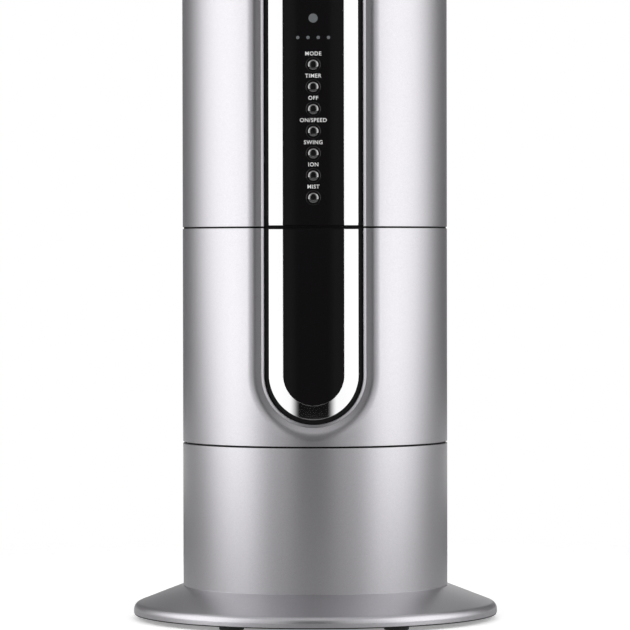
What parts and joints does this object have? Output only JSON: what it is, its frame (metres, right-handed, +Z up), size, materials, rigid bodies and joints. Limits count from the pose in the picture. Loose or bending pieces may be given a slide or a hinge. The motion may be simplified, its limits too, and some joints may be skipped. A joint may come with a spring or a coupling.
{
  "type": "tower fan with mist tank",
  "caption": "Round silver tower fan on a domed foot, with a chrome-edged black front strip of buttons and outlet, a swinging column, tipping mist nozzle and pull-out rear water tank.",
  "frame": {"origin": "centre of the foot on the floor, under the column's axis", "axes": "+Z up along the column's axis; the front strip faces -Y; +X is to the right as seen from the front"},
  "size_m": [0.33, 0.33, 1.06],
  "materials": {
    "silver_paint": "metallic silver paint, satin clearcoat",
    "chrome": "polished",
    "gloss_black": "high gloss",
    "matte_black": "fine texture",
    "grey_plastic": "plain moulded",
    "white_plastic": "plain moulded",
    "clear_plastic": "clear moulded",
    "light_pipe": "smoked translucent",
    "steel": "zinc plated",
    "black_steel": "black enamel",
    "copper_winding": "varnished copper wire on laminations",
    "circuit_board": "solder mask",
    "rubber": "matte",
    "filter_mesh": "open foam",
    "acetal": "slippery natural",
    "orange_float": "plain moulded"
  },
  "bodies": {
    "base": {"foot_cover": "silver_paint", "base_plate": "matte_black", "rubber_pads": "rubber", "ballast_plate": "black_steel", "base_drum": "silver_paint", "cord_gland": "rubber", "turntable_deck": "matte_black", "glide_ring": "matte_black", "swing_motor": "steel", "power_board": "circuit_board"},
    "pinion": {"swing_pinion": "acetal"},
    "column": {"column_floor": "matte_black", "swing_gear": "acetal", "swing_spindle": "steel", "tank_front_shell": "silver_paint", "tank_rear_shell": "silver_paint", "fan_front_shell": "silver_paint", "fan_rear_shell": "silver_paint", "top_cap": "silver_paint", "lower_trim": "chrome", "upper_trim": "chrome", "lower_panel": "gloss_black", "control_panel": "gloss_black", "outlet_grille": "matte_black", "nozzle_plate": "gloss_black", "tank_carrier": "matte_black", "fan_carrier": "matte_black", "button_bezels": "gloss_black", "indicator_lenses": "light_pipe", "control_board": "circuit_board", "tact_switches": "matte_black", "tank_chassis": "grey_plastic", "mist_chamber": "white_plastic", "chamber_lid": "white_plastic", "mist_transducer": "steel", "mist_duct": "white_plastic", "divider_plate": "matte_black", "side_rails": "grey_plastic", "shell_screws": "steel", "fan_motor": "black_steel", "motor_stator": "copper_winding", "scroll_housing": "grey_plastic", "ion_module": "matte_black"},
    "mist_key": {"mist_button": "gloss_black"},
    "ion_key": {"ion_button": "gloss_black"},
    "swing_key": {"swing_button": "gloss_black"},
    "speed_key": {"speed_button": "gloss_black"},
    "off_key": {"off_button": "gloss_black"},
    "timer_key": {"timer_button": "gloss_black"},
    "mode_key": {"mode_button": "gloss_black"},
    "nozzle": {"mist_nozzle": "matte_black"},
    "impeller_set": {"fan_rotor": "steel", "impeller": "matte_black"},
    "blower": {"blower_wheel": "matte_black"},
    "float": {"level_float": "orange_float"},
    "tank": {"water_tank": "clear_plastic", "tank_cover": "silver_paint"},
    "valve": {"tank_valve": "acetal"},
    "grille": {"intake_grille": "matte_black", "dust_filter": "filter_mesh"}
  },
  "joints": [
    {"name": "column_swing", "type": "hinge", "parent": "base", "child": "column", "pos_m": [0, 0, 0.15], "axis": [0, 0, 1], "range_deg": [-40, 40]},
    {"name": "pinion_spin", "type": "hinge", "parent": "base", "child": "pinion", "pos_m": [0, -0.072, 0.15], "axis": [0, 0, 1], "range_deg": [-210, 210]},
    {"name": "mist_press", "type": "slide", "parent": "column", "child": "mist_key", "axis": [0, 1, 0], "range_m": [0, 0.001], "stiffness_N_per_m": 300, "springref_m": -0.001},
    {"name": "ion_press", "type": "slide", "parent": "column", "child": "ion_key", "axis": [0, 1, 0], "range_m": [0, 0.001], "stiffness_N_per_m": 300, "springref_m": -0.001},
    {"name": "swing_press", "type": "slide", "parent": "column", "child": "swing_key", "axis": [0, 1, 0], "range_m": [0, 0.001], "stiffness_N_per_m": 300, "springref_m": -0.001},
    {"name": "speed_press", "type": "slide", "parent": "column", "child": "speed_key", "axis": [0, 1, 0], "range_m": [0, 0.001], "stiffness_N_per_m": 300, "springref_m": -0.001},
    {"name": "off_press", "type": "slide", "parent": "column", "child": "off_key", "axis": [0, 1, 0], "range_m": [0, 0.001], "stiffness_N_per_m": 300, "springref_m": -0.001},
    {"name": "timer_press", "type": "slide", "parent": "column", "child": "timer_key", "axis": [0, 1, 0], "range_m": [0, 0.001], "stiffness_N_per_m": 300, "springref_m": -0.001},
    {"name": "mode_press", "type": "slide", "parent": "column", "child": "mode_key", "axis": [0, 1, 0], "range_m": [0, 0.001], "stiffness_N_per_m": 300, "springref_m": -0.001},
    {"name": "nozzle_tip", "type": "hinge", "parent": "column", "child": "nozzle", "pos_m": [0, -0.11, 0.9653], "axis": [1, 0, 0], "range_deg": [-15, 25]},
    {"name": "impeller_spin", "type": "hinge", "parent": "column", "child": "impeller_set", "pos_m": [0, 0.014, 0.6], "axis": [0, 0, 1], "continuous": true},
    {"name": "blower_spin", "type": "hinge", "parent": "column", "child": "blower", "pos_m": [-0.041, -0.06236, 0.334], "axis": [0, 0, 1], "continuous": true},
    {"name": "float_rise", "type": "slide", "parent": "column", "child": "float", "axis": [0, 0, 1], "range_m": [0, 0.1]},
    {"name": "tank_slide", "type": "slide", "parent": "column", "child": "tank", "axis": [0, 1, 0], "range_m": [0, 0.19]},
    {"name": "valve_lift", "type": "slide", "parent": "tank", "child": "valve", "axis": [0, 1, 0], "range_m": [0, 0.003], "stiffness_N_per_m": 200, "springref_m": -0.002},
    {"name": "grille_pull", "type": "slide", "parent": "column", "child": "grille", "axis": [0, 1, 0], "range_m": [0, 0.05]}
  ],
  "couplings": [
    {"joint": "pinion_spin", "follows": "column_swing", "ratio": -5}
  ]
}
